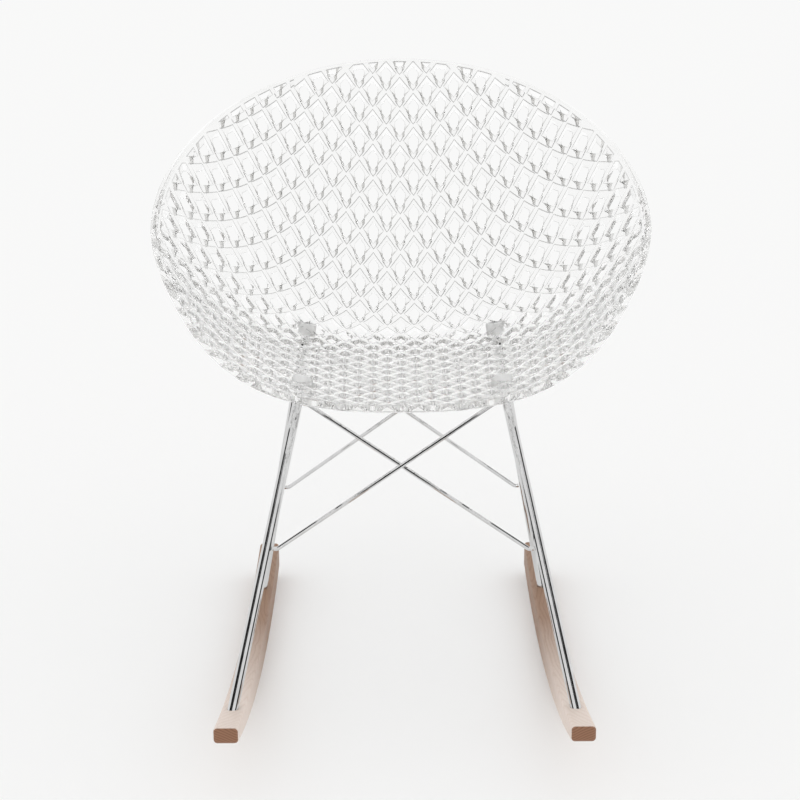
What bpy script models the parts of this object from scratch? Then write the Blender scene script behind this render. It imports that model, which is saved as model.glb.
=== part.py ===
"""Rocking chair: a clear moulded bucket seat on four steel legs, which crossed rods brace, and two
wooden rockers. Metres, +Z up. The seat faces -Y, and left and right are those of the person in it."""

import math

import bmesh
import bpy
from mathutils import Matrix, Vector

# Bucket seat. Its sitting surface runs from a low point towards the back out to the rim.
RIM_HALF_WIDTH = 0.3034  # of the sitting surface, from above
RIM_HALF_DEPTH = 0.3056
RIM_CORNER_SWELL = 0.081  # at the front corners, as a share of the rim's radius
RIM_FLANK_PINCH = 0.046  # between those corners and the sides
RIM_CENTRE_Y = -0.007
RIM_FRONT_Z = 0.4005
RIM_BACK_Z = 0.7305
SEAT_LOW_Y = 0.070
SEAT_LOW_Z = 0.3665
SHELL_WALL = 0.008
RIM_ROUND = 0.002

# The sitting surface's curve from its low point, at the front, the side and the back: how far
# the nearly level seat reaches and where it turns up, as shares of the whole run, the height of
# that turn, then the wall's slope above level at the rim and the length over which it holds.
SEAT_REACH = (0.30, 0.42, 0.57)
TURN_REACH = (0.58, 0.65, 0.65)
TURN_RISE = (0.027, 0.025, -0.009)
WALL_SLOPE = (math.radians(11), math.radians(62), math.radians(67.5))
WALL_STRAIGHT = (0.090, 0.120, 0.211)

SHELL_SIDES = 52
SHELL_RINGS = 13

# Where the legs' centre lines meet the sitting surface, from above.
MOUNT_FRONT = (0.118, -0.159)
MOUNT_REAR = (0.126, 0.129)

# Moulded sockets under the seat, measured down the leg's centre line from the sitting surface.
SOCKET_RADIUS = 0.0135
HEAD_RECESS_DEPTH = 0.007
HEAD_RECESS_RADIUS = 0.0052
SOCKET_WEB = 0.004
SOCKET_GRIP = 0.010  # how much of the leg the socket holds
SOCKET_SHIFT = 0.25  # the boss's middle, from the leg's mouth (0) to the sitting surface (1)

# Legs and their end fittings
LEG_RADIUS = 0.006
LEG_WALL = 0.0015
LEG_SINK = 0.011  # how far a leg stands in its rocker
PLUG_LENGTH = 0.016
SCREW_RADIUS = 0.002
SCREW_ENGAGED = 0.010  # screw inside the plug
SCREW_HEAD_RADIUS = 0.0040
SCREW_HEAD_HEIGHT = 0.0026
KEY_RADIUS = 0.0014
KEY_DEPTH = 0.0014
WASHER_RADIUS = 0.0048
WASHER_THICKNESS = 0.0008
FIT = 0.0003  # clearance between pieces that touch

# Rockers
ROCKER_SPACING = 0.3805  # centre to centre
ROCKER_WIDTH = 0.027
ROCKER_RADIUS = 1.635  # of the underside
ROCKER_TOP_RADIUS = 2.000
ROCKER_TOP_Y = -0.009  # the top's lowest point
ROCKER_TOP_Z = 0.0368
CONTACT_Y = 0.010  # where the underside meets the floor, under the centre of gravity
ROCKER_FRONT_Y = -0.479
ROCKER_REAR_Y = 0.215
ROCKER_FACETS = 24
ROCKER_ROUND = 0.0042
FOOT_FRONT_Y = -0.392  # where the legs' centre lines meet the rockers' tops
FOOT_REAR_Y = 0.067
FOOT_RECESS_DEPTH = 0.0035

# Brace rods, as crossed pairs between the two front legs and between the two rear legs
ROD_RADIUS = 0.0025
ROD_STUB = 0.005  # the short end that stands square to the leg
FRONT_ROD_LOW = 0.505  # along the leg, from its socket (0) to its rocker (1)
REAR_ROD_LOW = 0.59
ROD_HIGH = 0.010  # below the socket, along the leg
ROD_SIDES = 3  # bevel resolution

SIDES = (("left", 1), ("right", -1))
DOWN_SIDES = 24
SMALL_SIDES = 16
FINE = 0.00001

GLOSS_CLEAR = ((0.93, 0.94, 0.95, 1), 0.08, 0.0)
CHROME = ((0.78, 0.78, 0.79, 1), 0.08, 1.0)
DARK_STEEL = ((0.20, 0.20, 0.21, 1), 0.30, 1.0)
STEEL = ((0.55, 0.55, 0.56, 1), 0.30, 1.0)
ASH = ((0.62, 0.43, 0.32, 1), 0.45, 0.0)


def clear_scene():
    for obj in list(bpy.data.objects):
        bpy.data.objects.remove(obj, do_unlink=True)


def make_collection(name):
    collection = bpy.data.collections.new(name)
    bpy.context.scene.collection.children.link(collection)
    return collection


def make_material(name, look):
    colour, roughness, metallic = look
    material = bpy.data.materials.new(name)
    material.use_nodes = True
    shader = material.node_tree.nodes["Principled BSDF"]
    shader.inputs["Base Color"].default_value = colour
    shader.inputs["Roughness"].default_value = roughness
    shader.inputs["Metallic"].default_value = metallic
    material.diffuse_color = colour
    return material


def add_object(name, data, place):
    """An object in the model if place is a material, or a hidden cutter if it is None."""
    obj = bpy.data.objects.new(name, data)
    obj.parent = BASE
    if place is None:
        CUTTERS.objects.link(obj)
        obj.hide_render = True
        obj.display_type = "WIRE"
    else:
        CHAIR.objects.link(obj)
        data.materials.append(place)
    return obj


def smooth(mesh):
    mesh.shade_smooth()
    mesh.set_sharp_from_angle(angle=math.radians(40))


def aim(obj, point, direction):
    """Puts the object's origin at point and its Z axis along direction."""
    obj.location = point
    obj.rotation_euler = direction.to_track_quat("Z", "Y").to_euler()


def by_direction(front_side_back, angle):
    """A smooth value round the seat that takes the three given ones at front, side and back."""
    front, side, back = front_side_back
    share = (1 - math.cos(angle)) / 2
    bend = 2 * (front + back - 2 * side)
    return front + share * (back - front - bend) + share * share * bend


def rim_radius(angle):
    radius = 1 / math.hypot(math.sin(angle) / RIM_HALF_WIDTH, math.cos(angle) / RIM_HALF_DEPTH)
    if math.cos(angle) <= 0:
        return radius
    swell = RIM_CORNER_SWELL * math.cos(angle) ** 2 - RIM_FLANK_PINCH * math.sin(angle) ** 2
    return radius * (1 + swell * math.sin(2 * angle) ** 2)


def rim_height(angle):
    share = (1 - math.cos(angle) * rim_radius(angle) / RIM_HALF_DEPTH) / 2
    return RIM_FRONT_Z + share * (RIM_BACK_Z - RIM_FRONT_Z)


def rim_run(angle):
    """(aside, back) from the low point to the rim, from above."""
    radius = rim_radius(angle)
    return radius * math.sin(angle), RIM_CENTRE_Y - radius * math.cos(angle) - SEAT_LOW_Y


def seat_point(angle, t):
    """A point on the sitting surface, from its low point at t = 0 to the rim at t = 1."""
    aside, back = rim_run(angle)
    run = math.hypot(aside, back)
    rise = rim_height(angle) - SEAT_LOW_Z
    slope = by_direction(WALL_SLOPE, angle)
    straight = by_direction(WALL_STRAIGHT, angle)
    controls = (
        (0, 0),
        (by_direction(SEAT_REACH, angle) * run, 0),
        (by_direction(TURN_REACH, angle) * run, by_direction(TURN_RISE, angle)),
        (run - straight * math.cos(slope), rise - straight * math.sin(slope)),
        (run, rise),
    )
    shares = [math.comb(4, k) * t**k * (1 - t) ** (4 - k) for k in range(5)]
    out, up = (sum(share * point[axis] for share, point in zip(shares, controls)) for axis in (0, 1))
    return Vector((out * aside / run, SEAT_LOW_Y + out * back / run, SEAT_LOW_Z + up))


def last_below(limit, value):
    """The largest share from 0 to 1 at which the rising function value is below the limit."""
    low, high = 0.0, 1.0
    for _ in range(40):
        middle = (low + high) / 2
        if value(middle) < limit:
            low = middle
        else:
            high = middle
    return low


def seat_height(x, y):
    """The sitting surface's height above the plan position (x, y), which is inside the rim."""
    aside, ahead = abs(x), SEAT_LOW_Y - y

    def bearing(share):
        out, back = rim_run(math.pi * share)
        return math.atan2(out, -back)

    def reach(t):
        point = seat_point(angle, t)
        return math.hypot(point.x, point.y - SEAT_LOW_Y)

    angle = math.pi * last_below(math.atan2(aside, ahead), bearing)
    return seat_point(angle, last_below(math.hypot(aside, ahead), reach)).z


def seat_mesh(name, drop, capped):
    """The sitting surface as rings of vertices, lowered by drop and closed across its rim if capped."""
    mesh = bpy.data.meshes.new(name)
    edit = bmesh.new()
    down = Vector((0, 0, -drop))
    centre = edit.verts.new(seat_point(0, 0) + down)
    rings = [
        [
            edit.verts.new(seat_point(math.tau * side / SHELL_SIDES, ring / SHELL_RINGS) + down)
            for side in range(SHELL_SIDES)
        ]
        for ring in range(1, SHELL_RINGS + 1)
    ]
    for side in range(SHELL_SIDES):
        after = (side + 1) % SHELL_SIDES
        edit.faces.new((centre, rings[0][side], rings[0][after]))
        for inner, outer in zip(rings, rings[1:]):
            edit.faces.new((inner[side], outer[side], outer[after], inner[after]))
    if capped:
        bmesh.ops.reverse_faces(edit, faces=edit.faces)
        edit.faces.new(rings[-1])
    edit.to_mesh(mesh)
    edit.free()
    smooth(mesh)
    return mesh


def cylinder(name, radius, low, high, place=None):
    """A cylinder along its own Z axis from low to high."""
    mesh = bpy.data.meshes.new(name)
    edit = bmesh.new()
    bmesh.ops.create_cone(
        edit,
        cap_ends=True,
        segments=DOWN_SIDES,
        radius1=radius,
        radius2=radius,
        depth=high - low,
        matrix=Matrix.Translation((0, 0, (low + high) / 2)),
    )
    edit.to_mesh(mesh)
    edit.free()
    return add_object(name, mesh, place)


def turned(name, profile, steps, place=None, ring=False, round_shade=False):
    """A solid turned about its own Z axis from (radius, height) points that run down its outer side."""
    mesh = bpy.data.meshes.new(name)
    points = [(radius, 0, height) for radius, height in profile]
    edges = [(i, i + 1) for i in range(len(points) - 1)]
    if ring:
        edges.append((len(points) - 1, 0))
    mesh.from_pydata(points, edges, [])
    obj = add_object(name, mesh, place)
    screw = obj.modifiers.new("Turn", "SCREW")
    screw.steps = screw.render_steps = steps
    screw.use_merge_vertices = True
    screw.merge_threshold = FINE
    screw.use_smooth_shade = round_shade
    return obj


def boolean(obj, other, operation):
    modifier = obj.modifiers.new(f"{operation.title()} {other.name}", "BOOLEAN")
    modifier.operation = operation
    modifier.object = other


def bevel(obj, width, segments):
    modifier = obj.modifiers.new("Round", "BEVEL")
    modifier.width = width
    modifier.segments = segments
    modifier.limit_method = "ANGLE"
    modifier.angle_limit = math.radians(40)


def mesh_from_curve(obj, name, place):
    """A mesh object with the curve's shape and place, its caps welded on. The curve is removed."""
    bpy.context.view_layer.update()
    graph = bpy.context.evaluated_depsgraph_get()
    mesh = bpy.data.meshes.new_from_object(obj.evaluated_get(graph))
    edit = bmesh.new()
    edit.from_mesh(mesh)
    bmesh.ops.remove_doubles(edit, verts=edit.verts, dist=FINE)
    edit.to_mesh(mesh)
    edit.free()
    mesh.name = name
    where = obj.matrix_world.copy()
    bpy.data.objects.remove(obj, do_unlink=True)
    made = add_object(name, mesh, place)
    made.matrix_world = where
    return made


def rocker_bottom(y):
    """Height of the true arc. Its facets' ends lie on it, and the facet at CONTACT_Y lies at zero."""
    half_facet = (ROCKER_REAR_Y - ROCKER_FRONT_Y) / ROCKER_FACETS / 2
    centre = math.sqrt(ROCKER_RADIUS**2 - half_facet**2)
    return centre - math.sqrt(ROCKER_RADIUS**2 - (y - CONTACT_Y) ** 2)


def rocker_top(y):
    return ROCKER_TOP_Z + ROCKER_TOP_RADIUS - math.sqrt(ROCKER_TOP_RADIUS**2 - (y - ROCKER_TOP_Y) ** 2)


def arc_stations():
    """The facets' ends along Y, with one facet centred on CONTACT_Y."""
    facet = (ROCKER_REAR_Y - ROCKER_FRONT_Y) / ROCKER_FACETS
    first = CONTACT_Y + facet / 2
    inner = [first + facet * k for k in range(-ROCKER_FACETS, ROCKER_FACETS)]
    clear = facet / 4
    kept = [y for y in inner if ROCKER_FRONT_Y + clear < y < ROCKER_REAR_Y - clear]
    return [ROCKER_FRONT_Y, *kept, ROCKER_REAR_Y]


def join_flat_faces(mesh):
    """Makes one face of each flat cheek, so that the bevel isn't held back by inner edges."""
    edit = bmesh.new()
    edit.from_mesh(mesh)
    bmesh.ops.dissolve_limit(
        edit, angle_limit=math.radians(0.2), verts=edit.verts, edges=edit.edges
    )
    edit.to_mesh(mesh)
    edit.free()


def make_rocker(name, x):
    stations = arc_stations()
    outline = [(y, rocker_bottom(y)) for y in stations]
    outline += [(y, rocker_top(y)) for y in reversed(stations)]
    curve = bpy.data.curves.new(name, "CURVE")
    curve.dimensions = "2D"
    curve.fill_mode = "BOTH"
    curve.extrude = ROCKER_WIDTH / 2
    spline = curve.splines.new("POLY")
    spline.points.add(len(outline) - 1)
    for point, (along, up) in zip(spline.points, outline):
        point.co = (along, up, 0, 1)
    spline.use_cyclic_u = True
    guide = add_object(name + "_outline", curve, None)
    guide.location = (x, 0, 0)
    guide.rotation_euler = (math.pi / 2, 0, math.pi / 2)
    rocker = mesh_from_curve(guide, name, MATERIALS["ash"])
    join_flat_faces(rocker.data)
    bevel(rocker, ROCKER_ROUND, 3)
    return rocker


class Leg:
    """One leg's centre line, from the sitting surface down to the top of its rocker."""

    def __init__(self, row, side_name, side):
        self.row = row
        self.name = f"{row}_{side_name}"
        x, y = MOUNT_FRONT if row == "front" else MOUNT_REAR
        foot_y = FOOT_FRONT_Y if row == "front" else FOOT_REAR_Y
        self.seat = Vector((side * x, y, seat_height(x, y)))
        self.foot = Vector((side * ROCKER_SPACING / 2, foot_y, rocker_top(foot_y)))
        self.up = (self.seat - self.foot).normalized()
        depth = HEAD_RECESS_DEPTH + SOCKET_WEB
        self.bore_end = self.seat - self.up * depth
        self.socket_end = self.bore_end - self.up * SOCKET_GRIP
        self.bottom = self.foot - self.up * LEG_SINK

    def at(self, share):
        """A point on the open part of the leg: 0 at the socket, 1 at the rocker."""
        return self.socket_end.lerp(self.foot, share)

    @property
    def open_length(self):
        return (self.socket_end - self.foot).length


def socket_cutter(leg):
    """Head recess, screw hole and leg bore on one axis, in heights above the bore's end."""
    mouth = SOCKET_WEB + HEAD_RECESS_DEPTH + HEAD_RECESS_RADIUS
    bore_low = -SOCKET_GRIP - 3 * SOCKET_RADIUS
    cutter = turned(
        f"socket_cutter_{leg.name}",
        (
            (0, mouth),
            (HEAD_RECESS_RADIUS, mouth),
            (HEAD_RECESS_RADIUS, SOCKET_WEB),
            (SCREW_RADIUS + FIT, SOCKET_WEB),
            (SCREW_RADIUS + FIT, 0),
            (LEG_RADIUS + FIT, 0),
            (LEG_RADIUS + FIT, bore_low),
            (0, bore_low),
        ),
        DOWN_SIDES,
    )
    aim(cutter, leg.bore_end, leg.up)
    return cutter


def socket_boss(leg, cavity):
    """A round moulded boss from inside the shell's wall down to the leg's mouth, as one cylinder
    whose top follows the middle of the wall."""
    low = leg.socket_end
    boss = cylinder(f"socket_boss_{leg.name}", SOCKET_RADIUS, 0, leg.seat.z - low.z + SOCKET_RADIUS)
    middle = low.lerp(leg.seat, SOCKET_SHIFT)
    boss.location = (middle.x, middle.y, low.z)
    boolean(boss, cavity, "DIFFERENCE")
    return boss


def make_shell(legs):
    shell = add_object("seat_shell", seat_mesh("seat_shell", 0, False), MATERIALS["clear"])
    wall = shell.modifiers.new("Wall", "SOLIDIFY")
    wall.thickness = SHELL_WALL
    wall.offset = -1
    wall.use_even_offset = True
    bevel(shell, RIM_ROUND, 2)
    cavity = add_object("seat_cavity", seat_mesh("seat_cavity", SHELL_WALL / 2, True), None)
    for leg in legs:
        boolean(shell, socket_boss(leg, cavity), "UNION")
        boolean(shell, socket_cutter(leg), "DIFFERENCE")


def make_leg(leg):
    """The tube, with 0 at its lower end."""
    length = (leg.bore_end - leg.bottom).length - FIT
    inner = LEG_RADIUS - LEG_WALL
    tube = turned(
        f"leg_{leg.name}",
        ((LEG_RADIUS, length), (LEG_RADIUS, 0), (inner, 0), (inner, length)),
        DOWN_SIDES,
        MATERIALS["chrome"],
        ring=True,
        round_shade=True,
    )
    aim(tube, leg.bottom, leg.up)


def make_plug(name, origin, axis):
    """A threaded insert in a leg's end, from 0 up its axis."""
    outer = LEG_RADIUS - LEG_WALL - FIT
    inner = SCREW_RADIUS + FIT
    plug = turned(
        name,
        ((outer, PLUG_LENGTH), (outer, 0), (inner, 0), (inner, PLUG_LENGTH)),
        SMALL_SIDES,
        MATERIALS["steel"],
        ring=True,
    )
    aim(plug, origin, axis)


def make_screw(name, origin, axis, grip):
    """A socket-head screw. Its head stands on 0, and its shank runs down by grip."""
    top = SCREW_HEAD_HEIGHT
    screw = turned(
        name,
        (
            (0, top - KEY_DEPTH),
            (KEY_RADIUS, top - KEY_DEPTH),
            (KEY_RADIUS, top),
            (SCREW_HEAD_RADIUS, top),
            (SCREW_HEAD_RADIUS, 0),
            (SCREW_RADIUS, 0),
            (SCREW_RADIUS, -grip),
            (0, -grip),
        ),
        SMALL_SIDES,
        MATERIALS["dark_steel"],
    )
    aim(screw, origin, axis)


def make_washer(name, origin, axis):
    inner = SCREW_RADIUS + FIT
    washer = turned(
        name,
        (
            (WASHER_RADIUS, WASHER_THICKNESS),
            (WASHER_RADIUS, 0),
            (inner, 0),
            (inner, WASHER_THICKNESS),
        ),
        SMALL_SIDES,
        MATERIALS["steel"],
        ring=True,
    )
    aim(washer, origin, axis)


def fit_leg_top(leg):
    """Insert, washer and screw that pull the leg up into its socket."""
    make_plug(f"top_insert_{leg.name}", leg.bore_end - leg.up * FIT, -leg.up)
    web_top = leg.bore_end + leg.up * (SOCKET_WEB + FIT)
    make_washer(f"seat_washer_{leg.name}", web_top, leg.up)
    under_head = web_top + leg.up * (WASHER_THICKNESS + FIT)
    reach = (under_head - leg.bore_end).length + SCREW_ENGAGED
    make_screw(f"seat_screw_{leg.name}", under_head, leg.up, reach)


def fit_leg_foot(leg, rocker):
    """Blind leg hole from above and a recessed screw from beneath, on the leg's centre line."""
    make_plug(f"foot_insert_{leg.name}", leg.bottom, leg.up)
    hole_end = leg.bottom - leg.up * FIT
    slant = leg.up.z
    floor_gap = (leg.bottom.z - rocker_bottom(leg.bottom.y)) / slant
    run = leg.up.y / slant
    seat_depth = floor_gap - FOOT_RECESS_DEPTH - SCREW_HEAD_RADIUS * abs(run) - FIT
    recess = SCREW_HEAD_RADIUS + 2 * FIT
    past = 4 * LEG_SINK
    cutter = turned(
        f"foot_cutter_{leg.name}",
        (
            (0, past),
            (LEG_RADIUS + FIT, past),
            (LEG_RADIUS + FIT, 0),
            (SCREW_RADIUS + FIT, 0),
            (SCREW_RADIUS + FIT, -seat_depth),
            (recess, -seat_depth),
            (recess, -seat_depth - past),
            (0, -seat_depth - past),
        ),
        DOWN_SIDES,
    )
    aim(cutter, hole_end, leg.up)
    boolean(rocker, cutter, "DIFFERENCE")
    under_head = hole_end - leg.up * (seat_depth + FIT)
    reach = (under_head - leg.bottom).length + SCREW_ENGAGED
    make_screw(f"foot_screw_{leg.name}", under_head, -leg.up, reach)


def rounded(points, radius, steps=3):
    """The same run of points, with each corner turned over about radius."""
    path = [points[0]]
    for before, corner, after in zip(points, points[1:], points[2:]):
        start = corner + (before - corner).normalized() * radius
        end = corner + (after - corner).normalized() * radius
        for step in range(steps + 1):
            t = step / steps
            path.append((1 - t) ** 2 * start + 2 * t * (1 - t) * corner + t * t * end)
    path.append(points[-1])
    return path


def rod_end(leg, point, towards, outward):
    """The stub's two ends: at the leg's surface, and off it by the stub's length."""
    across = towards - point
    across -= leg.up * across.dot(leg.up)
    across.normalize()
    inset = math.sqrt(LEG_RADIUS**2 - outward.length**2)
    surface = point + outward + across * (inset + FIT + ROD_RADIUS * outward.length / inset)
    return surface, surface + across * ROD_STUB


def make_rod(name, low_leg, low_share, high_leg, outward):
    """A brace from low on one leg to just under the socket of the other, standing off the plane
    of its two legs by outward so that the pair can cross."""
    low = low_leg.at(low_share)
    high = high_leg.at(ROD_HIGH / high_leg.open_length)
    low_end, low_bend = rod_end(low_leg, low, high, outward)
    high_end, high_bend = rod_end(high_leg, high, low, outward)
    path = rounded([low_end, low_bend, high_bend, high_end], ROD_STUB * 0.6)
    curve = bpy.data.curves.new(name, "CURVE")
    curve.dimensions = "3D"
    curve.bevel_depth = ROD_RADIUS
    curve.bevel_resolution = ROD_SIDES
    curve.use_fill_caps = True
    spline = curve.splines.new("POLY")
    spline.points.add(len(path) - 1)
    for point, where in zip(spline.points, path):
        point.co = (*where, 1)
    spline.use_smooth = True
    add_object(name, curve, MATERIALS["chrome"])


def make_rod_pair(row, left, right, low_share):
    across = (right.seat - left.seat).cross(left.up).normalized()
    forward = across if across.y < 0 else -across
    offset = forward * (ROD_RADIUS + FIT / 2)
    make_rod(f"brace_rod_{row}_right_low", right, low_share, left, offset)
    make_rod(f"brace_rod_{row}_left_low", left, low_share, right, -offset)


def stand_on_origin():
    """Moves the whole chair so that the middle of its bounding box's base is the origin."""
    bpy.context.view_layer.update()
    graph = bpy.context.evaluated_depsgraph_get()
    corners = []
    for obj in CHAIR.objects:
        if obj.type == "EMPTY":
            continue
        held = obj.evaluated_get(graph)
        mesh = held.to_mesh()
        corners += [held.matrix_world @ vertex.co for vertex in mesh.vertices]
        held.to_mesh_clear()
    low = [min(corner[axis] for corner in corners) for axis in range(3)]
    high = [max(corner[axis] for corner in corners) for axis in range(3)]
    BASE.location = (0, -(low[1] + high[1]) / 2, -low[2])


def main():
    legs = {
        (row, side_name): Leg(row, side_name, side)
        for row in ("front", "rear")
        for side_name, side in SIDES
    }
    make_shell(legs.values())
    for side_name, side in SIDES:
        rocker = make_rocker(f"rocker_{side_name}", side * ROCKER_SPACING / 2)
        for row in ("front", "rear"):
            leg = legs[row, side_name]
            make_leg(leg)
            fit_leg_top(leg)
            fit_leg_foot(leg, rocker)
    for row, low_share in (("front", FRONT_ROD_LOW), ("rear", REAR_ROD_LOW)):
        make_rod_pair(row, legs[row, "left"], legs[row, "right"], low_share)
    stand_on_origin()


clear_scene()
CHAIR = make_collection("rocking_chair")
CUTTERS = make_collection("cutters")
MATERIALS = {
    name: make_material(name, look)
    for name, look in (
        ("clear", GLOSS_CLEAR),
        ("chrome", CHROME),
        ("dark_steel", DARK_STEEL),
        ("steel", STEEL),
        ("ash", ASH),
    )
}
BASE = bpy.data.objects.new("rocking_chair_base", None)
CHAIR.objects.link(BASE)
main()
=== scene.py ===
import math

import bpy
import numpy as np
from mathutils import Matrix, Vector
from mathutils.bvhtree import BVHTree
from mathutils.geometry import delaunay_2d_cdt


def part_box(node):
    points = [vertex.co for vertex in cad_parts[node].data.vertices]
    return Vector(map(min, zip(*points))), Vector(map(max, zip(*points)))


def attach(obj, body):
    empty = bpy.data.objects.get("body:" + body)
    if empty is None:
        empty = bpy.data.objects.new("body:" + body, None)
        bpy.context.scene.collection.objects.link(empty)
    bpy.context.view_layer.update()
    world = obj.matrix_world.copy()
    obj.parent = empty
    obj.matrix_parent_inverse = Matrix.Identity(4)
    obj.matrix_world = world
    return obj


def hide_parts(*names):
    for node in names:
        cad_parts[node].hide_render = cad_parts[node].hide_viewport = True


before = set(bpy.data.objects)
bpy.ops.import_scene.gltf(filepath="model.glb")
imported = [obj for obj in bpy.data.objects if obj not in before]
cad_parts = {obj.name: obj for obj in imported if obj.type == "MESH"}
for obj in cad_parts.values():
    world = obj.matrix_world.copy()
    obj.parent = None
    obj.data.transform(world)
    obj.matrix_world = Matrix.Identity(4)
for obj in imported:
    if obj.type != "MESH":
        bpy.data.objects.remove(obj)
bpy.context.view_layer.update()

# The seat's sitting surface, as in the CAD part, in metres from its own origin.
RIM_HALF_WIDTH, RIM_HALF_DEPTH = 0.3034, 0.3056
RIM_CORNER_SWELL, RIM_FLANK_PINCH = 0.081, 0.046
RIM_CENTRE_Y = -0.007
RIM_FRONT_Z, RIM_BACK_Z = 0.4005, 0.7305
LOW_Y, LOW_Z = 0.070, 0.3665
SEAT_REACH = (0.30, 0.42, 0.57)
TURN_REACH = (0.58, 0.65, 0.65)
TURN_RISE = (0.027, 0.025, -0.009)
WALL_SLOPE = (math.radians(11), math.radians(62), math.radians(67.5))
WALL_STRAIGHT = (0.090, 0.120, 0.211)
ROCKER_FRONT_Y = -0.479
SHIFT = Vector((0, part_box("rocker_left")[0].y - ROCKER_FRONT_Y, 0))

# The columns of the lattice draw together by PINCH per metre in front of PINCH_Y.
PINCH, PINCH_Y, PINCH_BLEND = 0.284, 0.08, 0.05

# Lattice: a square diagonal grid carried through the shell along the mould's draw direction.
DRAW = math.radians(56)  # the draw direction's rise above level, facing forward
HALF_CELL = 0.01868
RIB_SHARE = 0.27  # of a half cell, on each side of a rib's centre line
SHELL_WALL = 0.008
RIM_BAND = 0.004
RIM_DEPTH = 0.0045
RIM_CHAMFER = 0.0009
RIM_BELOW = 0.975  # share of the way to the rim where the rim's slope is taken
EDGE = 0.0006  # width of the sloping band round each opening
THIN = 3  # in EDGE widths: where the skins are nearer than this, an opening has no band
TOUCHING = 1e-6  # skins nearer than this need no wall between them
MOVED = 1e-4  # an outline point moved further than this belongs to a tapered corner
NARROW = 0.0066  # half the width of an opening behind, where its lower corners taper in
NARROW_EASE = 0.3  # share of the height above an opening's middle that widens it again
RAY_START = 2.0
SEAT_SHARP = math.radians(25)
TURNED_SHARP = math.radians(30)

CLEAR_IOR = 1.12
# Painted shade on the openings' edges and corners fades to the near-clear tint below where the
# skin faces little forward, over this range of facing, down to this least share.
UNSHADED_LEVEL_TINT = (0.985, 0.985, 0.98)
SHADE_FACING_RANGE, LEAST_SHADE_SHARE = (0.1, 0.75), 0.04

PITH = (0.235, -0.035)  # the log's middle, beside and below a rocker
PITH_LEAN = 0.05
RING_GAP = 0.0026
RING_WANDER = 0.014
RING_SHARE, PORE_SHARE = 0.42, 0.30
# Painted shade: the wood's colour darkens towards the rear, beneath the seat.
WOOD_REAR_SHADE = (-0.36, -0.04)  # y from which the wood darkens, and y where it is darkest


def by_direction(front_side_back, angle):
    front, side, back = front_side_back
    share = (1 - np.cos(angle)) / 2
    bend = 2 * (front + back - 2 * side)
    return front + share * (back - front - bend) + share * share * bend


def rim_radius(angle):
    radius = 1 / np.hypot(np.sin(angle) / RIM_HALF_WIDTH, np.cos(angle) / RIM_HALF_DEPTH)
    swell = RIM_CORNER_SWELL * np.cos(angle) ** 2 - RIM_FLANK_PINCH * np.sin(angle) ** 2
    return radius * np.where(np.cos(angle) > 0, 1 + swell * np.sin(2 * angle) ** 2, 1)


def seat_points(angle, t):
    """Points of the sitting surface for arrays of direction and share of the way to the rim."""
    radius = rim_radius(angle)
    aside, back = radius * np.sin(angle), RIM_CENTRE_Y - radius * np.cos(angle) - LOW_Y
    run = np.hypot(aside, back)
    height = (1 - np.cos(angle) * radius / RIM_HALF_DEPTH) / 2 * (RIM_BACK_Z - RIM_FRONT_Z)
    rise = RIM_FRONT_Z + height - LOW_Z
    slope, straight = by_direction(WALL_SLOPE, angle), by_direction(WALL_STRAIGHT, angle)
    outs = (
        0 * run,
        by_direction(SEAT_REACH, angle) * run,
        by_direction(TURN_REACH, angle) * run,
        run - straight * np.cos(slope),
        run,
    )
    ups = (
        0 * run,
        0 * run,
        by_direction(TURN_RISE, angle),
        rise - straight * np.sin(slope),
        rise,
    )
    shares = [math.comb(4, k) * t**k * (1 - t) ** (4 - k) for k in range(5)]
    out = sum(share * value for share, value in zip(shares, outs))
    up = sum(share * value for share, value in zip(shares, ups))
    points = np.stack([out * aside / run, LOW_Y + out * back / run, LOW_Z + up], -1)
    return points + np.array(SHIFT)


def width_scale(y):
    """The columns draw together slightly towards the front of the seat."""
    y = y - SHIFT.y
    return 1 - PINCH * PINCH_BLEND * math.log1p(math.exp((PINCH_Y - y) / PINCH_BLEND))


DRAW_OUT = Vector((0, -math.cos(DRAW), math.sin(DRAW)))
ROW_AXIS = Vector((0, math.sin(DRAW), math.cos(DRAW)))


def seat_normals(points):
    """Unit normals, all to the same side, for a grid of rings by sides."""
    round_way = np.roll(points, -1, 1) - np.roll(points, 1, 1)
    outward = np.gradient(points, axis=0)
    normal = np.cross(outward, round_way)
    return normal / np.linalg.norm(normal, axis=-1)[..., None]


def bowl_tree(grid, centre):
    rings, sides = grid.shape[:2]
    points = [tuple(centre)] + [tuple(p) for p in grid.reshape(-1, 3)]
    faces = []
    for side in range(sides):
        after = (side + 1) % sides
        faces.append((0, 1 + side, 1 + after))
        for ring in range(rings - 1):
            a, b = 1 + ring * sides, 1 + (ring + 1) * sides
            faces.append((a + side, b + side, b + after, a + after))
    return BVHTree.FromPolygons(points, faces)


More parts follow.
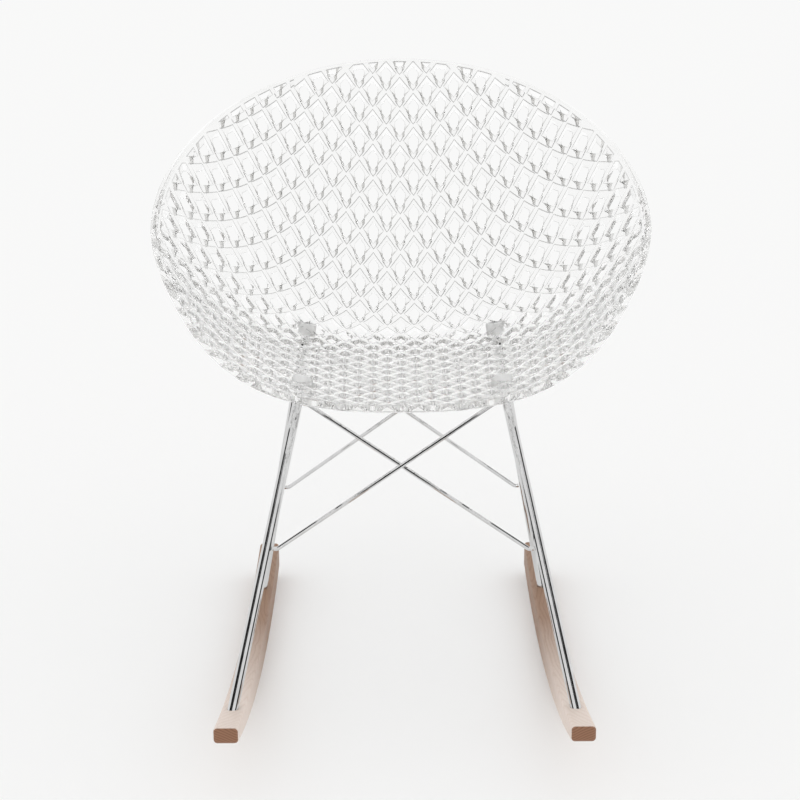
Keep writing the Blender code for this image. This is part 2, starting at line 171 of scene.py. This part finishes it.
class Shell:
    """The seat's two skins. Lines along the draw direction cross both, and grid coordinates
    (column, row) in metres name such a line."""

    def __init__(self, sides=360, rings=120):
        angle, t = np.meshgrid(
            np.linspace(0, math.tau, sides, endpoint=False), np.linspace(0, 1, rings + 1)[1:]
        )
        inner = seat_points(angle, t)
        normals = seat_normals(inner)
        if normals[0, 0, 2] > 0:
            normals = -normals
        outer = inner + normals * SHELL_WALL
        low = seat_points(np.zeros(1), np.zeros(1))[0]
        self.inner = bowl_tree(np.concatenate([inner, outer[-1:]]), low)
        self.outer = bowl_tree(outer, low - np.array((0, 0, SHELL_WALL)))
        self.rim = outer[-1]
        self.rim_grid = np.array([self.grid(p) for p in self.rim])
        self.inner_rim_grid = np.array([self.grid(p) for p in inner[-1]])

    def grid(self, point):
        return point[0] / width_scale(point[1]), Vector(point).dot(ROW_AXIS)

    def cross(self, column, row, tree, side):
        """Where a line meets a skin. A line that misses it gives the nearest point of the rim,
        so several lines can end in one point there."""
        y = LOW_Y + SHIFT.y
        for _ in range(3):
            origin = ROW_AXIS * row + DRAW_OUT * side * RAY_START
            origin += Vector((column * width_scale(y), 0, 0))
            hit = tree.ray_cast(origin, -DRAW_OUT * side)[0]
            if hit is None:
                gap = np.hypot(self.rim_grid[:, 0] - column, self.rim_grid[:, 1] - row)
                return Vector(self.rim[int(gap.argmin())])
            y = hit.y
        return hit

    def front(self, column, row):
        return self.cross(column, row, self.inner, 1)

    def back(self, column, row):
        return self.cross(column, row, self.outer, -1)


def inward(outline, gap):
    """A closed outline round the grid's middle, moved inwards by gap."""
    along = np.roll(outline, -1, 0) - np.roll(outline, 1, 0)
    normal = np.stack([-along[:, 1], along[:, 0]], 1)
    normal /= np.linalg.norm(normal, axis=1)[:, None]
    if ((outline.mean(0) - outline) * normal).sum() < 0:
        normal = -normal
    return outline + normal * gap


def hole_outlines(shell, steps=4):
    """The diamond openings of the grid that fall within the rim, widened by the edge rounding."""
    half = HALF_CELL * (1 - RIB_SHARE) + EDGE * math.sqrt(2)
    low, high = shell.rim_grid.min(0) - HALF_CELL, shell.rim_grid.max(0) + HALF_CELL
    corners = ((1, 0), (0, 1), (-1, 0), (0, -1))
    for i in range(math.ceil(low[0] / HALF_CELL), math.ceil(high[0] / HALF_CELL)):
        for j in range(math.ceil(low[1] / HALF_CELL), math.ceil(high[1] / HALF_CELL)):
            if (i + j) % 2 == 0:
                continue
            u, v = i * HALF_CELL, j * HALF_CELL
            yield [
                (
                    u + half * (ax + step / steps * (bx - ax)),
                    v + half * (ay + step / steps * (by - ay)),
                )
                for (ax, ay), (bx, by) in zip(corners, corners[1:] + corners[:1])
                for step in range(steps)
            ]


def lattice_face(shell):
    """The lattice's face in grid coordinates: its points, and triangles that turn one way."""
    points, faces = [], []
    outlines = [shell.rim_grid, shell.inner_rim_grid, inward(shell.inner_rim_grid, RIM_BAND)]
    for outline in outlines + list(hole_outlines(shell)):
        faces.append(list(range(len(points), len(points) + len(outline))))
        points.extend(Vector(p) for p in outline)
    made, _, triangles, _, _, sources = delaunay_2d_cdt(points, [], faces, 0, 1e-7)
    solid = [
        tuple(triangle)
        for triangle, source in zip(triangles, sources)
        if 0 in source and not (2 in source and max(source) > 2)
    ]
    used = sorted({corner for triangle in solid for corner in triangle})
    index = {corner: place for place, corner in enumerate(used)}
    return [made[k] for k in used], [tuple(index[k] for k in triangle) for triangle in solid]


def add_object(name, data):
    obj = bpy.data.objects.new(name, data)
    bpy.context.scene.collection.objects.link(obj)
    return obj


def rim_ring(name, material, sides=360):
    """The smooth clear band that closes the lattice all round, as wide as the shell is thick."""
    angle = np.linspace(0, math.tau, sides, endpoint=False)
    grid = seat_points(*np.meshgrid(angle, np.array([RIM_BELOW, 1.0])))
    rise = grid[1] - grid[0]
    rise /= np.linalg.norm(rise, axis=1)[:, None]
    normal = np.cross(rise, np.roll(grid[1], -1, 0) - np.roll(grid[1], 1, 0))
    normal /= np.linalg.norm(normal, axis=1)[:, None]
    normal *= -np.sign(normal[0, 2])
    section = [
        (0.0, -RIM_DEPTH),
        (0.0, -RIM_CHAMFER),
        (RIM_CHAMFER, 0.0),
        (SHELL_WALL - RIM_CHAMFER, 0.0),
        (SHELL_WALL, -RIM_CHAMFER),
        (SHELL_WALL, -RIM_DEPTH),
    ]
    rings = [grid[1] + normal * out + rise * up for out, up in section]
    points = [tuple(p) for ring in rings for p in ring]
    faces = []
    for k in range(len(section)):
        near, far = k * sides, (k + 1) % len(section) * sides
        for side in range(sides):
            after = (side + 1) % sides
            faces.append((near + side, near + after, far + after, far + side))
    mesh = bpy.data.meshes.new(name)
    mesh.from_pydata(points, [], faces)
    mesh.shade_smooth()
    mesh.set_sharp_from_angle(angle=TURNED_SHARP)
    mesh.materials.append(material)
    return add_object(name, mesh)


def opening_centre(spot):
    """The grid coordinates of the middle of the opening nearest to a spot."""
    i, j = round(spot.x / HALF_CELL), round(spot.y / HALF_CELL)
    near = [(a, b) for a in (i - 1, i, i + 1) for b in (j - 1, j, j + 1) if (a + b) % 2]
    return min(
        (Vector((a, b)) * HALF_CELL for a, b in near),
        key=lambda middle: abs(spot.x - middle.x) + abs(spot.y - middle.y),
    )


def tapered(spot):
    """A point of an opening's outline, moved in to where the outline lies on the back skin."""
    middle = opening_centre(spot)
    limit = NARROW + max(0, spot.y - middle.y) * NARROW_EASE
    return Vector((middle.x + max(-limit, min(limit, spot.x - middle.x)), spot.y))


def solid_lattice(name, materials):
    """The lattice: two skins joined by the walls of the openings. Its faces take the materials
    of the skins, the edges of the openings and their tapered lower corners; the last two carry
    painted shade. The mesh is not watertight: near the rim some faces collapse or repeat, and
    some edges stay open."""
    shell = Shell()
    flat, triangles = lattice_face(shell)
    front = [shell.front(*p) for p in flat]
    a, b, c = (front[k] for k in triangles[len(triangles) // 2])
    if (b - a).cross(c - a).dot(DRAW_OUT) < 0:
        triangles = [triangle[::-1] for triangle in triangles]
    sides = {(a, b) for t in triangles for a, b in zip(t, t[1:] + t[:1])}
    border = {a: b for a, b in sides if (b, a) not in sides}
    before = {b: a for a, b in border.items()}
    rim = set(range(len(shell.rim_grid)))
    behind = [p if k not in border or k in rim else tapered(p) for k, p in enumerate(flat)]
    back = [shell.back(*p) for p in behind]
    # Each edge of a hole is rounded by a narrow sloping band down to the hole's wall.
    wall = {}
    points = front + back
    for k in border:
        if (back[k] - front[k]).length < EDGE * THIN:
            continue
        ways = (flat[border[k]] - flat[k]).normalized() + (flat[k] - flat[before[k]]).normalized()
        way = ways.normalized()
        off = Vector((way.y, -way.x)) * EDGE
        wall[k] = len(points), len(points) + 1
        points.append(shell.front(*(flat[k] + off)) - DRAW_OUT * EDGE)
        points.append(shell.back(*(behind[k] + off)) + DRAW_OUT * EDGE)
    count = len(front)
    faces = list(triangles) + [tuple(k + count for k in reversed(t)) for t in triangles]
    kinds = [0] * len(faces)
    for a, b in border.items():
        if a in wall and b in wall:
            (af, ab), (bf, bb) = wall[a], wall[b]
            faces += [(b, a, af, bf), (bf, af, ab, bb), (bb, ab, a + count, b + count)]
            moved = max((behind[k] - flat[k]).length for k in (a, b))
            middle = (flat[a] + flat[b]) / 2
            lower = middle.y < opening_centre(middle).y
            kinds += [1, 2 if moved > MOVED and lower else 0, 1]
        elif a in wall or b in wall or (front[a] - back[a]).length > TOUCHING:
            faces.append((b, a, a + count, b + count))
            kinds.append(0)
    mesh = bpy.data.meshes.new(name)
    mesh.from_pydata(points, [], faces)
    mesh.polygons.foreach_set("material_index", kinds)
    # How squarely the skin faces forward or back: the mask that sets the painted shade on the
    # edges and corners.
    facing = mesh.attributes.new("facing", "FLOAT", "POINT")
    skins = (shell.inner.find_nearest(p)[1] for p in points)
    facing.data.foreach_set("value", [abs(normal.y) for normal in skins])
    mesh.validate()
    mesh.shade_smooth()
    mesh.set_sharp_from_angle(angle=SEAT_SHARP)
    for material in materials:
        mesh.materials.append(material)
    return add_object(name, mesh)


def new_material(name):
    material = bpy.data.materials.new(name)
    material.use_nodes = True
    return material, material.node_tree.nodes, material.node_tree.links


class Graph:
    """A material's nodes, with a method for each kind of node that the materials share."""

    def __init__(self, name):
        self.material, self.nodes, self.links = new_material(name)
        self.shader = self.nodes["Principled BSDF"]

    def feed(self, source, target):
        self.links.new(source, self.shader.inputs[target])

    def output(self, kind, output):
        return self.nodes.new(kind).outputs[output]

    def stretched(self, vector, scale):
        node = self.nodes.new("ShaderNodeMapping")
        node.inputs["Scale"].default_value = scale
        self.links.new(vector, node.inputs["Vector"])
        return node.outputs["Vector"]

    def noise(self, vector, scale, detail):
        node = self.nodes.new("ShaderNodeTexNoise")
        node.inputs["Scale"].default_value = scale
        node.inputs["Detail"].default_value = detail
        self.links.new(vector, node.inputs["Vector"])
        return node.outputs["Fac"]

    def ramp(self, value, stops):
        node = self.nodes.new("ShaderNodeValToRGB")
        elements = node.color_ramp.elements
        for number, (position, colour) in enumerate(stops):
            element = elements[number] if number < 2 else elements.new(position)
            element.position, element.color = position, (*colour, 1)
        self.links.new(value, node.inputs["Fac"])
        return node.outputs["Color"]

    def ranged(self, value, given=(0, 1), made=(0, 1)):
        node = self.nodes.new("ShaderNodeMapRange")
        names = ("From Min", "From Max", "To Min", "To Max")
        for name, number in zip(names, (*given, *made)):
            node.inputs[name].default_value = number
        self.links.new(value, node.inputs["Value"])
        return node.outputs["Result"]

    def parts(self, vector):
        node = self.nodes.new("ShaderNodeSeparateXYZ")
        self.links.new(vector, node.inputs["Vector"])
        return node.outputs

    def math(self, operation, *values):
        node = self.nodes.new("ShaderNodeMath")
        node.operation = operation
        for socket, value in zip(node.inputs, values):
            if isinstance(value, (int, float)):
                socket.default_value = value
            else:
                self.links.new(value, socket)
        return node.outputs[0]

    def mixed(self, share, first, second):
        node = self.nodes.new("ShaderNodeMix")
        node.data_type = "RGBA"
        self.links.new(share, node.inputs["Factor"])
        for socket, value in ((node.inputs[6], first), (node.inputs[7], second)):
            if isinstance(value, tuple):
                socket.default_value = (*value, 1)
            else:
                self.links.new(value, socket)
        return node.outputs[2]


def clear_plastic(name, tint, depth, clarity=1.0, roughness=0.04, grain=900, level=False):
    """Plastic mottled between tint and a share of depth darker. It is frosted below clarity 1.
    A dark tint is painted shade. Where level is set, that painted shade pales on the seat's level
    parts and flanks, which hold less shade, and stays where the skin faces forward."""
    graph = Graph(name)
    shader = graph.shader
    shader.inputs["Roughness"].default_value = roughness
    shader.inputs["IOR"].default_value = CLEAR_IOR
    shader.inputs["Transmission Weight"].default_value = clarity
    speckle = graph.noise(graph.output("ShaderNodeTexCoord", "Object"), grain, 2.0)
    dark = tuple(c * (1 - depth) for c in tint)
    colour = graph.ramp(speckle, ((0.35, dark), (0.65, tint)))
    # Painted shade: the tint fades to near clear where the skin faces little forward.
    if level:
        facing = graph.nodes.new("ShaderNodeAttribute")
        facing.attribute_name = "facing"
        share = graph.ranged(facing.outputs["Fac"], SHADE_FACING_RANGE, (LEAST_SHADE_SHARE, 1))
        colour = graph.mixed(share, UNSHADED_LEVEL_TINT, colour)
    graph.feed(colour, "Base Color")
    return graph.material


def mottled(name, low, high, scale, roughness, metallic, stretch=(1, 1, 1)):
    """A surface whose colour and roughness wander a little with a stretched noise."""
    graph = Graph(name)
    graph.shader.inputs["Metallic"].default_value = metallic
    place = graph.stretched(graph.output("ShaderNodeTexCoord", "Object"), stretch)
    wander = graph.noise(place, scale, 3.0)
    graph.feed(graph.ramp(wander, ((0.3, low), (0.7, high))), "Base Color")
    graph.feed(graph.ranged(wander, made=roughness), "Roughness")
    return graph.material


def ash():
    """Pale ash: growth rings round a line beside the piece, pores, and darker end grain. It
    darkens towards the rear with painted shade.
    """
    graph = Graph("ash")
    geometry = graph.nodes.new("ShaderNodeNewGeometry")
    place = geometry.outputs["Position"]
    x, y, z = graph.parts(place)
    wander = graph.math("MULTIPLY", graph.noise(place, 9.0, 2.0), RING_WANDER)
    aside = graph.math("SUBTRACT", graph.math("ABSOLUTE", x), PITH[0])
    lean = graph.math("MULTIPLY", y, PITH_LEAN)
    up = graph.math("ADD", graph.math("SUBTRACT", z, PITH[1]), lean)
    square = graph.math(
        "ADD", graph.math("MULTIPLY", aside, aside), graph.math("MULTIPLY", up, up)
    )
    radius = graph.math("ADD", graph.math("SQRT", square), wander)
    ring = graph.math("FRACT", graph.math("DIVIDE", radius, RING_GAP))
    greys = ((0.0, 0.55), (0.25, 0.0), (0.7, 0.12), (1.0, 1.0))
    late = graph.ramp(ring, [(position, (grey, grey, grey)) for position, grey in greys])
    pores = graph.noise(graph.stretched(place, (1, 0.04, 1)), 1400.0, 2.0)
    fleck = graph.ranged(pores, (0.45, 0.75))
    grain = graph.math(
        "ADD",
        graph.math("MULTIPLY", late, RING_SHARE),
        graph.math("MULTIPLY", fleck, PORE_SHARE),
    )
    # Painted shade: both wood tones darken from the front towards the rear.
    rear_shade = graph.ranged(y, [along + SHIFT.y for along in WOOD_REAR_SHADE])
    pale = graph.mixed(rear_shade, (0.78, 0.67, 0.60), (0.31, 0.18, 0.108))
    deep = graph.mixed(rear_shade, (0.64, 0.50, 0.41), (0.19, 0.095, 0.055))
    length_face = graph.mixed(grain, pale, deep)
    end_face = graph.mixed(late, (0.29, 0.14, 0.075), (0.15, 0.06, 0.028))
    facing = graph.math("ABSOLUTE", graph.parts(geometry.outputs["True Normal"])["Y"])
    end = graph.ranged(facing, (0.4, 0.6))
    graph.feed(graph.mixed(end, length_face, end_face), "Base Color")
    graph.feed(graph.ranged(grain, made=(0.45, 0.65)), "Roughness")
    relief = graph.nodes.new("ShaderNodeBump")
    relief.invert = True
    relief.inputs["Strength"].default_value = 0.25
    relief.inputs["Distance"].default_value = 0.0003
    graph.links.new(grain, relief.inputs["Height"])
    graph.feed(relief.outputs["Normal"], "Normal")
    return graph.material


def ring_centres(obj):
    """The middles of a straight leg's top and bottom ends."""
    points = np.array([obj.matrix_world @ v.co for v in obj.data.vertices])
    middle = points.mean(0)
    axis = np.linalg.svd(points - middle, full_matrices=False)[2][0]
    axis = axis if axis[2] > 0 else -axis
    reach = (points - middle) @ axis
    top = points[reach > reach.max() - 0.0005].mean(0)
    foot = points[reach < reach.min() + 0.0005].mean(0)
    return Vector(top), Vector(foot)


def lathe(name, profile, place, axis, material, sides=32):
    """A closed ring turned from a closed profile of (radius, distance along the axis)."""
    turn = axis.to_track_quat("Z", "Y").to_matrix()
    points, faces = [], []
    for side in range(sides):
        angle = math.tau * side / sides
        for radius, along in profile:
            spot = Vector((radius * math.cos(angle), radius * math.sin(angle), along))
            points.append(place + turn @ spot)
    count = len(profile)
    for side in range(sides):
        near, far = side * count, (side + 1) % sides * count
        for k in range(count):
            after = (k + 1) % count
            faces.append((near + k, far + k, far + after, near + after))
    mesh = bpy.data.meshes.new(name)
    mesh.from_pydata(points, [], faces)
    mesh.shade_smooth()
    mesh.set_sharp_from_angle(angle=TURNED_SHARP)
    mesh.materials.append(material)
    return add_object(name, mesh)


CLEAR_SKIN = clear_plastic("clear_skin", (0.992, 0.992, 0.99), 0.015, grain=60)
# Painted shade: the dark edge tint draws dark lines along the openings' edges, and the grey
# corner tint draws shade in their lower corners, which are also frosted.
CLEAR_EDGE_PAINTED_SHADE = clear_plastic("clear_edge_painted_shade", (0.50, 0.50, 0.49), 0.35, 0.55, 0.1, level=True)
CLEAR_CORNER_PAINTED_SHADE = clear_plastic("clear_corner_painted_shade", (0.80, 0.79, 0.765), 0.34, 0.6, 0.2, level=True)
CLEAR_SOCKET = clear_plastic("clear_socket", (0.99, 0.99, 0.985), 0.04, 0.3, 0.5, grain=200)
CHROME = mottled(
    "chrome", (0.60, 0.60, 0.60), (0.70, 0.70, 0.70), 90, (0.03, 0.10), 1.0, (1, 1, 0.2)
)
DARK_STEEL = mottled("dark_steel", (0.05, 0.05, 0.05), (0.14, 0.14, 0.14), 900, (0.3, 0.5), 0.9)
STEEL = mottled(
    "plain_steel", (0.45, 0.45, 0.45), (0.62, 0.62, 0.61), 700, (0.2, 0.4), 1.0, (1, 1, 0.1)
)
ASH = ash()

lattice = solid_lattice("seat_lattice", (CLEAR_SKIN, CLEAR_EDGE_PAINTED_SHADE, CLEAR_CORNER_PAINTED_SHADE))
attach(lattice, "root")
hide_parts("seat_shell")
rim = rim_ring("seat_rim", CLEAR_SKIN)
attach(rim, "root")

# The moulded sockets under the seat: each holds a leg's end, with a screw from the sitting side.
SOCKET = (
    (0.0064, -0.010),
    (0.0119, -0.010),
    (0.0131, -0.008),
    (0.0133, 0.000),
    (0.0128, 0.0095),
    (0.0118, 0.0105),
    (0.0056, 0.0105),
    (0.0056, 0.004),
    (0.0024, 0.004),
    (0.0024, 0.0004),
    (0.0064, 0.0004),
)

for name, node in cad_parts.items():
    if name.startswith(("leg_", "brace_rod")):
        look = CHROME
    elif name.startswith("rocker"):
        look = ASH
    elif "_screw_" in name:
        look = DARK_STEEL
    else:
        look = STEEL
    node.data.materials.clear()
    node.data.materials.append(look)
    if name.startswith("leg_"):
        top, foot = ring_centres(node)
        along = (top - foot).normalized()
        socket = lathe("seat_socket" + name[3:], SOCKET, top, along, CLEAR_SOCKET)
        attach(socket, "root")


FLOOR_REACH = 30
FLOOR_CORNERS = ((-1, -1), (1, -1), (1, 1), (-1, 1))
CARDS = ((-63, 24), (-24, 9), (24, 9), (63, 24))  # bearing and width in degrees
CAMERA_PLACE = Vector((-0.00896, -2.20577, 0.928915))
CAMERA_TURN, CAMERA_DIP, CAMERA_ROLL = -0.00309, 0.2690156, -0.0041695
BOUNCES = 40  # the clear ribs mirror light many times within


def pale_floor():
    material, nodes, links = new_material("pale_floor")
    shader = nodes["Principled BSDF"]
    shader.inputs["Base Color"].default_value = (0.80, 0.80, 0.797, 1)
    shader.inputs["Emission Color"].default_value = (1, 1, 0.998, 1)
    shader.inputs["Emission Strength"].default_value = 0.143
    shader.inputs["Roughness"].default_value = 0.9
    shader.inputs["Specular IOR Level"].default_value = 0.0
    return material


floor = bpy.data.meshes.new("floor")
corners = [(x * FLOOR_REACH, y * FLOOR_REACH, 0) for x, y in FLOOR_CORNERS]
floor.from_pydata(corners, [], [(0, 1, 2, 3)])
floor.materials.append(pale_floor())
floor_object = add_object("floor", floor)

world = bpy.data.worlds.new("studio")
bpy.context.scene.world = world
world.use_nodes = True
sky = world.node_tree.nodes["Background"]
sky.inputs["Color"].default_value = (1, 1, 1, 1)
sky.inputs["Strength"].default_value = 1.0


def card(name, bearing, width, distance=3.0, height=9.0):
    """A dark upright card beside the camera that only the polished metal mirrors."""
    middle = Vector((math.sin(bearing), -math.cos(bearing), 0)) * distance
    along = Vector((math.cos(bearing), math.sin(bearing), 0)) * width * distance / 2
    lift = Vector((0, 0, height))
    mesh = bpy.data.meshes.new(name)
    mesh.from_pydata(
        [middle - along, middle + along, middle + along + lift, middle - along + lift],
        [],
        [(0, 1, 2, 3)],
    )
    material, nodes, _ = new_material(name)
    nodes["Principled BSDF"].inputs["Base Color"].default_value = (0.004, 0.004, 0.004, 1)
    nodes["Principled BSDF"].inputs["Roughness"].default_value = 1.0
    mesh.materials.append(material)
    obj = add_object(name, mesh)
    obj.visible_camera = obj.visible_diffuse = obj.visible_transmission = False
    obj.visible_shadow = False


for number, (bearing, width) in enumerate(CARDS):
    card(f"card_{number}", math.radians(bearing), math.radians(width))

camera = bpy.data.cameras.new("camera")
camera.sensor_width = 36
camera.lens = 80.1
camera_object = add_object("camera", camera)
camera_object.matrix_world = (
    Matrix.Translation(CAMERA_PLACE + SHIFT)
    @ Matrix.Rotation(CAMERA_TURN, 4, "Z")
    @ Matrix.Rotation(math.pi / 2 - CAMERA_DIP, 4, "X")
    @ Matrix.Rotation(CAMERA_ROLL, 4, "Z")
)
bpy.context.scene.camera = camera_object
bpy.context.scene.view_settings.view_transform = "Standard"
cycles = bpy.context.scene.cycles
cycles.max_bounces = cycles.transmission_bounces = cycles.glossy_bounces = BOUNCES
cycles.diffuse_bounces = 8
